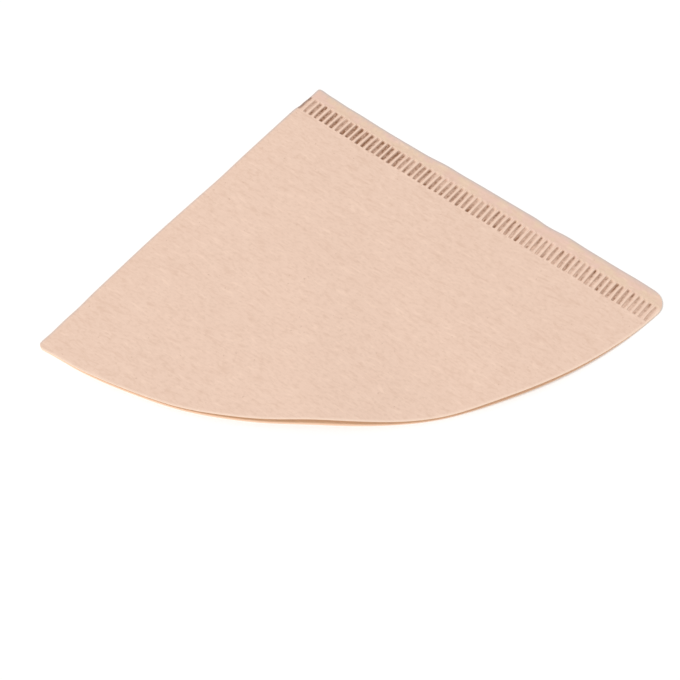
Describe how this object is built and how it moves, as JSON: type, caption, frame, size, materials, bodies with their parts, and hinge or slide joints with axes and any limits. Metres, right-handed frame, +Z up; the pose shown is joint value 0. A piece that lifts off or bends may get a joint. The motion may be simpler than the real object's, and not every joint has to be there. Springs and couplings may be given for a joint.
{
  "type": "paper coffee filter",
  "caption": "Flat-folded paper cone filter: quarter disc of two plies with a folded edge, a crimped seam and a mouth that stands slightly open at the rim.",
  "frame": {"origin": "middle of the footprint, on the surface that the filter lies on", "axes": "+Z up, +Y towards the pointed tip, -Y towards the round rim, -X the folded edge, +X the crimped seam"},
  "size_m": [0.166, 0.12, 0.0019],
  "materials": {
    "paper": "matte unbleached filter paper"
  },
  "bodies": {
    "root": {"folded_filter": "paper"}
  },
  "joints": []
}
